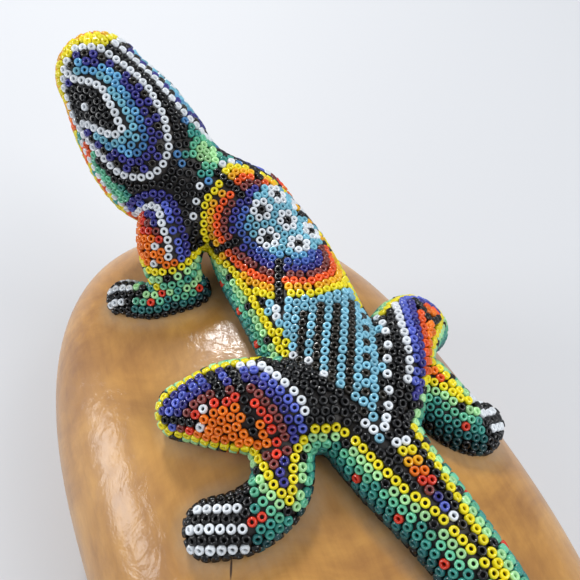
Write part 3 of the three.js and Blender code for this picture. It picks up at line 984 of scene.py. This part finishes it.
# The right hind leg: the same edge and flames in a plainer form, a white line, then blue and
# orange rows, with two short black bars over the knee.
zone = "right_hind_leg_motif_beads"
EDGE = [(49, 17, 70), (45, 19, 74), (40, 19.5, 76), (35.5, 18, 78), (34, 14.5, 81), (31.5, 8, 84),
        (30, 3.5, 84.5), (28, -1.5, 84), (25.5, -5.5, 84)]
chain([(41, 17, 79), (41, 13, 80.5), (40.5, 9, 80)], "black", zone)
chain([(47, 12, 74), (44, 10.5, 77), (42, 9, 79)], "black", zone)
chain(EDGE[4:], "white", zone, spacing=1.12 * PITCH)
chain(EDGE[:5], "white", zone)
edge = from_line(EDGE, 40)
area = open_skin(enclosed(EDGE + [(24, -10, 83), (30, -16, 78), (40, -8, 76), (50, 6, 70)],
                          facing=-0.6, reach=25)
                 | (skin_of("right_thigh", "right_shank") & (skin_x > 33)))
right_flames = by_row("periwinkle", "navy", "orange_red", "orange", "orange", "orange_red", "red")
rows(edge, area, ROW, 12, right_flames, zone)
claimed |= area

# The left shoulder: a navy and blue arch over a white one, with an orange and red tongue
# inside, on the upper arm.
zone = "left_front_leg_motif_beads"
ARCH = [(-18, 67.5, 89.5), (-15, 65, 93.5), (-11.5, 63.5, 94.5), (-9.5, 62, 93.5),
        (-8.5, 59.5, 92), (-8.5, 56.5, 91), (-9.0, 54.5, 89.5), (-8.5, 53, 87.5), (-9, 51.5, 84.5),
        (-10, 49, 81), (-12, 46.5, 78.5)]
WHITE_ARCH = [(-17.5, 67.5, 85.5), (-16, 66, 88), (-14, 63, 90), (-12.5, 61.5, 91),
              (-12.5, 58, 90.5), (-13, 56, 89.5), (-13, 54.5, 88.5), (-13, 52.5, 87),
              (-13.5, 51, 84.5), (-14.5, 49, 81.5), (-15, 47, 78.5)]
chain(WHITE_ARCH, "white", zone)
set_spots([((-16, 53, 85.5), "white"), ((-17.5, 51, 82), "white")], zone)
chain(ARCH, "navy", zone)
arch = from_line(ARCH, 14)
white_arch = from_line(WHITE_ARCH, 14)
shoulder = open_skin(
    enclosed(ARCH + [(-17, 45, 76), (-22, 50, 74), (-21, 58, 78), (-20, 66, 83)], facing=-0.6)
    | (skin_of("left_upper_arm", "left_forearm") & (skin_x < -15)))


def tongue(k, i, p):
    if p[2] > 89.3:
        return "navy"
    if p[2] > 88.3:
        return "brown"
    if p[2] > 87.0 or p[2] < 78.5:
        return "red"
    return "orange"


inner = shoulder & (arch > white_arch + 1.0)
rows(arch, shoulder & ~inner, ROW, 2, by_row("periwinkle"), zone)
rows(white_arch, inner, ROW, 6, tongue, zone)
claimed |= shoulder

# The right shoulder: the same colours in plain rows that run down the upper arm from the back,
# with no arch and no tongue.
area = open_skin(skin_of("right_upper_arm", "right_forearm"))
sleeve = from_line([(16, 72, 88), (14, 66, 89), (15, 58, 88), (20, 54, 83)], 30)
shades = by_row("navy", "periwinkle", "periwinkle", "white", "brown", "red", "orange")
rows(sleeve, area, 0.0, 8, shades, "right_front_leg_motif_beads")
claimed |= area

# The head: each side is one large eye, a black lozenge in a white V, in rows of blue out to a
# white line; a black strip with the two white lines runs over the crown.
EYE_LINE = [(-20, 95.3, 117.3), (-17.2, 94, 118), (-14.6, 92.6, 117.8), (-11.5, 89, 115.5),
            (-8.5, 84.5, 113.5), (-6.5, 80, 112), (-6, 76.5, 110), (-5.2, 74, 108.5),
            (-5.5, 71.5, 107), (-6, 68.5, 105), (-6.4, 66.8, 103.5), (-8.4, 65, 101.4),
            (-11, 64.5, 99.6), (-13.5, 65.2, 98.5), (-16, 67, 98), (-18.5, 69.8, 98.3),
            (-21.2, 75.8, 101), (-23, 79.8, 102.3), (-24.3, 83.6, 103.6), (-25.3, 87.2, 105),
            (-25.8, 90, 107.5), (-25.9, 91.4, 109.6), (-25.2, 92.6, 112.4), (-23.4, 94, 115.2)]
V_LINE = [(-23.5, 92, 114), (-21.5, 89, 113.5), (-20, 87.5, 113.5), (-18.5, 86, 113.5),
          (-17, 84, 113), (-16.5, 81.5, 112.5), (-16.5, 79.5, 111.5), (-16, 77.5, 110.5),
          (-16, 75, 109), (-15.3, 72.7, 106.7), (-17, 73.5, 106.5), (-19, 75, 106.3),
          (-20.3, 77, 106.3), (-21.7, 79, 106.3), (-23.2, 81.5, 106), (-24.8, 85, 105)]
BLACK_EYE = [(-24, 89.5, 112), (-21, 87.3, 112.5), (-19, 84.5, 112.3), (-18, 81, 111),
             (-17.3, 78, 109.8), (-17, 75, 108), (-19.5, 77, 107.5), (-22.3, 81, 107.3),
             (-24, 84.5, 106.8), (-25, 88, 108)]
MIRROR_POINT = np.array([-6.2, 84.5])
MIRROR_NORMAL = np.array([0.912, 0.410])


def mirrored(points):
    """The points carried over to the right side of the head."""
    turned = []
    for x, y, z in points:
        gap = (np.array([x, y]) - MIRROR_POINT) @ MIRROR_NORMAL
        turned.append((x - 2 * gap * MIRROR_NORMAL[0], y - 2 * gap * MIRROR_NORMAL[1], z))
    return turned


CROWN_LINE = [(-11.2, 94.6, 117.2), (-8.2, 92, 114.6), (-6, 88, 113), (-4, 84.5, 111.5),
              (-2.5, 81, 110.5), (-1.2, 79.4, 109)]
RIGHT_EYE_LINE = CROWN_LINE + mirrored(EYE_LINE[7:]) + mirrored(EYE_LINE[:2])
EYE_GLINT = [(-22, 83.5, 109.5)]
for side_name, line, turn_over in (("left", EYE_LINE, list), ("right", RIGHT_EYE_LINE, mirrored)):
    zone = side_name + "_eye_patch_beads"
    pupil_line = turn_over(BLACK_EYE)
    chain(line + line[:1], "white", zone, least=CLOSE)
    chain(turn_over(V_LINE), "white", zone)
    set_spots([(turn_over(EYE_GLINT)[0], "white")], zone)
    patch = from_line(line + line[:1], 20)
    pupil = from_line(pupil_line + pupil_line[:1], 14)
    eye = enclosed(pupil_line)
    area = open_skin(enclosed(line))
    rows(pupil, area & eye, 0.3 * ROW, 4, by_row("black"), zone)
    from_v = from_line(turn_over(V_LINE), 14)

    def eye_colour(k, i, p):
        near_v = from_v[nearest(p)]
        if k == 0:
            return "gold_black" if i % 2 else "navy"
        if near_v < 1.6 * ROW:
            return "turquoise"
        if near_v < 2.5 * ROW:
            return "light_blue"
        return "navy" if k == 1 else "medium_blue" if k == 2 else "light_blue"

    rows(patch, area & ~eye, ROW, 9, eye_colour, zone)
    claimed |= area

# The snout's rim of yellow and orange, and the jaw, yellow with orange-red and teal wedges under
# a white line that runs down each cheek.
zone = "crown_and_jaw_beads"
RIM = [(-26.3, 92.8, 108), (-25.6, 94.3, 112.6), (-23.6, 95.8, 115.8), (-20.2, 97.2, 118),
       (-17.2, 96.2, 119), (-14.2, 95, 118.6), (-10.6, 96.6, 117.6)]
JAW = [(-25.3, 82, 100.3), (-24.3, 79, 97.5), (-23, 76, 94.6), (-21.4, 73, 91.6),
       (-19.6, 70.4, 88.8), (-18, 68.6, 86.6)]
SNOUT_ROWS = ["yellow", "yellow", "amber", "orange", "orange", "orange", "yellow", "yellow"]


def snout_colour(k, i, p):
    return "amber" if k == 1 and i % 3 == 0 else SNOUT_ROWS[k]


snout_gap = from_line(RIM + mirrored(RIM)[::-1][1:], 26)
snout = open_skin((skin_y * 0.912 - skin_x * 0.41 > 90.8) & (skin_z > 99))
rows(snout_gap, snout, HALF_ROW, 8, snout_colour, zone)
claimed |= snout
chain(JAW, "white", zone)
chain(mirrored(JAW), "white", zone)
jaw_line = [(-26.2, 91.4, 108), (-25.6, 87.2, 104), (-24.7, 83.6, 102)] + JAW
jaw_gap = np.minimum(from_line(jaw_line, 24), from_line(mirrored(jaw_line), 24))
head_skin = skin_of("spine") & (skin_y > 64) & (spine_t > 0.80)


def jaw_colour(k, i, p):
    wedge = math.sin((p[1] + 0.6 * p[2]) * 2 * math.pi / 10.5)
    if k == 0:
        return "orange_red" if wedge > 0.2 else "teal" if wedge < -0.7 else "yellow"
    if k == 1:
        return "orange" if wedge > 0.6 else "yellow"
    return "yellow" if k < 5 else "amber"


centre, _, _, over, _ = spine.frame(spine_t)
low = ((skin - centre) * over).sum(1)
area = open_skin(head_skin & ((low < -1.5) | ((low < 3.5) & (skin_y > 76.5))))
rows(jaw_gap, area, ROW, 8, jaw_colour, zone)
claimed |= area
cheek = open_skin(head_skin & (low < 4.5))
rows(jaw_gap, cheek, ROW, 6, by_row("mint", "mint", "teal", "black"), zone)
claimed |= cheek

# The tail's root: a flame of white, yellow, orange, red, brown and blue pairs, then black beads in
# single file; behind them the two yellow border lines meet and fill the ridge.
zone = "tail_diamond_beads"
chain([(16, -18, 84.5), (16.3, -20.2, 84.5), (16.6, -22.4, 84), (17.1, -24.6, 84),
       (17.5, -26.8, 83.5), (18.2, -28.9, 83), (18.4, -29.2, 83)],
      ["white", "yellow", "amber", "orange", "red", "brown"], zone)
chain([(18.2, -18.3, 84.5), (18.5, -20.5, 84), (18.7, -22.5, 84), (18.9, -24.5, 83.5),
       (19.2, -26.5, 83.5), (20.1, -28.2, 83)],
      ["white", "yellow", "amber", "orange", "red", "brown"], zone)
chain([(19.3, -30.6, 82.5), (19.5, -32, 82.5), (20, -34, 82), (20.7, -35.5, 81.5),
       (21.2, -37, 81.5), (21.7, -38.7, 81), (22, -40.5, 80.5), (22.3, -46, 80)],
      ["navy", "periwinkle", "white", "gold_black", "gold_black", "gold_black", "gold_black",
       "yellow"], zone)
ridge = open_skin(skin_of("spine") & (spine_t < 0.42) & (skin_y < -42))
rows(-from_wood, ridge, -20.0, 8, by_row("yellow"), "tail_ridge_beads")

# The back's black field fills what is left, its rows following the edges around it, with a
# pale green and teal star on the nape.
STAR = np.array([3.2, 67.5, 99.0])
star_up = surface.find_nearest(Vector(STAR))[1]
star_x = Vector((-1, 0.2, 0.6))
star_x = np.array((star_x - star_up * star_x.dot(star_up)).normalized())
star_y = np.cross(np.array(star_up), star_x)


def field_zone(p):
    if p[1] > 60 and p[2] > 92 and leg_of(p) == "spine" and spine_t[nearest(p)] > 0.78:
        return "crown_and_jaw_beads"
    return "back_field_beads"


def field_colour(k, i, p):
    gap = np.array(p) - STAR
    r = float(np.linalg.norm(gap))
    if r < 11:
        angle = math.atan2(gap @ star_y, gap @ star_x)
        petal = abs(math.remainder(angle - 0.45, 2 * math.pi / 5)) * r
        if r < 3.6:
            return "pale_green"
        if petal < 2.3 and r < 9.5:
            return "mint" if r < 5.2 else "teal" if r < 7.6 else "medium_blue"
    return "black"


from_motifs = np.full(len(skin), np.inf)
from_motifs[claimed] = 0
rows(spread(from_motifs, 40), open_skin(free), HALF_ROW, 14, field_colour, field_zone)

# Single beads close the gaps, in the colour of their row. Then all are pushed apart until they
# just touch: the beads of a chain give way least, and those that fill gaps most.
FILLER_HOLD = 1.4
TOUCHING = 0.97 * PITCH
LONGEST_PUSH = 0.3
ABOVE_WOOD = 0.55


def close_gaps(least):
    set_beads = lookup([b[0] for b in beads])
    gap = np.array([set_beads.find(Vector(p))[2] for p in skin])
    for i in np.argsort(-gap):
        if gap[i] < least:
            break
        p = tuple(float(c) for c in skin[i])
        if free[i] and from_wood[i] > 0.4 * ROW and room(p, least):
            set_bead(p, tuple(normals[i]), fill_colour[i], fill_zone[i], FILLER_HOLD)


def settle(rounds):
    at = np.array([b[0] for b in beads])
    hold = np.array(steady)
    for turn in range(rounds):
        if turn % 4 == 0:
            around = lookup(at)
            pairs = [(i, j) for i, p in enumerate(at)
                     for _, j, _ in around.find_range(Vector(p), 1.3 * PITCH) if j > i]
            first, second = np.array(pairs).T
        gap = at[second] - at[first]
        length = np.maximum(np.linalg.norm(gap, axis=1), 1e-6)
        push = np.where(length < TOUCHING, (TOUCHING - length) * 0.28, 0.0)
        shift = gap / length[:, None] * push[:, None]
        move = np.zeros_like(at)
        np.add.at(move, second, shift)
        np.add.at(move, first, -shift)
        size = np.linalg.norm(move, axis=1)
        move *= (np.minimum(size, LONGEST_PUSH) / np.maximum(size, 1e-9) * hold)[:, None]
        at = at + move
        at = np.array([tuple(surface.find_nearest(Vector(p))[0]) for p in at])
        at[:, 2] = np.maximum(at[:, 2], base_top(at[:, 0], at[:, 1]) + ABOVE_WOOD)
    cells.clear()
    for i, (_, _, colour, zone) in enumerate(beads):
        p = tuple(at[i])
        beads[i] = (p, tuple(normals[nearest(p)]), colour, zone)
        cells.setdefault(cell_of(p), []).append(p)


close_gaps(0.74 * PITCH)
settle(16)
close_gaps(0.84 * PITCH)
settle(6)
set_beads = lookup([b[0] for b in beads])
to_beads = np.array([set_beads.find(Vector(p) * 1000)[2] for p in mesh_points(base.data)])
haze = base.data.attributes.new("wax_haze", "FLOAT", "POINT")
haze.data.foreach_set("value",
                      0.8 * np.clip(1 - (to_beads - 1.0) / 4.5, 0, 1).astype(np.float32))
sunk = skin - normals * WAX_BELOW_CENTRE
sunk[resting] = skin[resting]
sunk[:, 2] = np.maximum(sunk[:, 2], base_top(sunk[:, 0], sunk[:, 1]) + ON_WOOD)
set_points(wax.data, sunk / 1000)

# One bead is turned from a ring, then copied into each group with its own small tilt and size.
# Its tone runs a little lighter or darker than its neighbours', as in any batch of glass.
RING_RADIUS = 0.75
RING_TUBE = 0.35
deselect()
bpy.ops.mesh.primitive_torus_add(major_segments=12, minor_segments=5, major_radius=RING_RADIUS,
                                 minor_radius=RING_TUBE)
ring = bpy.context.object
pattern = mesh_points(ring.data)
angle = np.arctan2(pattern[:, 1], pattern[:, 0])
bulge = (np.hypot(pattern[:, 0], pattern[:, 1]) - RING_RADIUS) / RING_TUBE
radial = 0.745 + 0.36 * bulge
pattern = np.stack([np.cos(angle) * radial, np.sin(angle) * radial,
                    pattern[:, 2] / 0.333 * 0.76], 1)
pattern_faces = np.array([tuple(p.vertices) for p in ring.data.polygons])
bpy.data.objects.remove(ring, do_unlink=True)

GLASS = {
    "black": (0.006, 0.006, 0.007), "gold_black": (0.019, 0.016, 0.011),
    "dark_teal": (0.010, 0.055, 0.062), "sea_teal": (0.020, 0.150, 0.150),
    "teal": (0.045, 0.290, 0.240), "mint": (0.130, 0.500, 0.310),
    "pale_green": (0.400, 0.740, 0.350), "yellow": (0.850, 0.720, 0.010),
    "amber": (0.930, 0.440, 0.010), "orange": (0.930, 0.190, 0.006),
    "orange_red": (0.850, 0.100, 0.012), "red": (0.720, 0.045, 0.018),
    "brown": (0.210, 0.045, 0.040), "navy": (0.042, 0.040, 0.245),
    "blue": (0.055, 0.110, 0.400), "periwinkle": (0.100, 0.135, 0.560),
    "medium_blue": (0.070, 0.230, 0.490), "light_blue": (0.120, 0.370, 0.610),
    "turquoise": (0.190, 0.490, 0.620), "sky": (0.220, 0.510, 0.650),
    "white": (0.760, 0.800, 0.840)}
glass_beads = {}
for name, colour in GLASS.items():
    roughness = 0.12 if name == "gold_black" else 0.16
    glass_beads[name], tree, shader = new_finish(name + "_glass_beads", roughness)
    shader.inputs["IOR"].default_value = 1.52
    batch = node(tree, "ShaderNodeAttribute", attribute_name="bead_tone").outputs["Fac"]
    play = 0.10 if name in ("white", "yellow") else 0.22
    darker = tuple(c * (1 - play) for c in colour)
    lighter = tuple(min(1, c * (1 + play) + 0.004) for c in colour)
    tint = ramp(tree, batch, [(0.0, darker), (1.0, lighter)])
    tree.links.new(tint, shader.inputs["Base Color"])
    uneven(tree, noise(tree, placed(tree), Scale=1400.0, Detail=2.0), shader.inputs["Normal"],
           0.12, 0.00005)

rng = np.random.default_rng(11)
ZONES = {
    "left_flank_border_beads": "teal_glass", "right_flank_border_beads": "teal_glass",
    "tail_border_beads": "teal_glass", "medallion_beads": "light_blue_glass",
    "saddle_beads": "light_blue_glass", "back_field_beads": "black_glass",
    "left_eye_patch_beads": "blue_glass", "right_eye_patch_beads": "blue_glass",
    "crown_and_jaw_beads": "white_glass", "tail_diamond_beads": "orange_glass",
    "tail_ridge_beads": "yellow_glass"}
for leg in ("left_front", "right_front", "left_hind", "right_hind"):
    ZONES[leg + "_foot_beads"] = "white_glass"
    ZONES[leg + "_leg_border_beads"] = "teal_glass"
    ZONES[leg + "_leg_motif_beads"] = "orange_glass"
for zone_name, slot_name in ZONES.items():
    group = [b for b in beads if b[3] == zone_name]
    at = np.array([b[0] for b in group])
    up = unit(np.array([b[1] for b in group]))
    up = unit(up + rng.normal(0, 0.07, up.shape))
    u = unit(np.cross(up, rng.normal(0, 1, up.shape)))
    v = np.cross(up, u)
    wide = (1 + rng.normal(0, 0.018, len(group)))[:, None, None]
    tall = (1 + rng.normal(0, 0.05, len(group)))[:, None, None]
    points = (at[:, None] + u[:, None] * (pattern[None, :, :1] * wide)
              + v[:, None] * (pattern[None, :, 1:2] * wide)
              + up[:, None] * (pattern[None, :, 2:] * tall))
    step = (np.arange(len(group)) * len(pattern))[:, None, None]
    faces = (pattern_faces[None] + step).reshape(-1, 4)
    mesh = bpy.data.meshes.new(zone_name + "_rings")
    mesh.from_pydata((points.reshape(-1, 3) / 1000).tolist(), [], faces.tolist())
    names = sorted({b[2] for b in group})
    for name in names:
        mesh.materials.append(glass_beads[name])
    which = np.repeat([names.index(b[2]) for b in group], len(pattern_faces)).astype(np.int32)
    mesh.polygons.foreach_set("material_index", which)
    tone = np.repeat(rng.random(len(group)), len(pattern)).astype(np.float32)
    mesh.attributes.new("bead_tone", "FLOAT", "POINT").data.foreach_set("value", tone)
    mesh.validate()
    mesh.update()
    piece = bpy.data.objects.new(zone_name + "_rings", mesh)
    bpy.context.scene.collection.objects.link(piece)
    shade_smooth(piece)
    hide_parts(zone_name)
    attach(piece, "root")
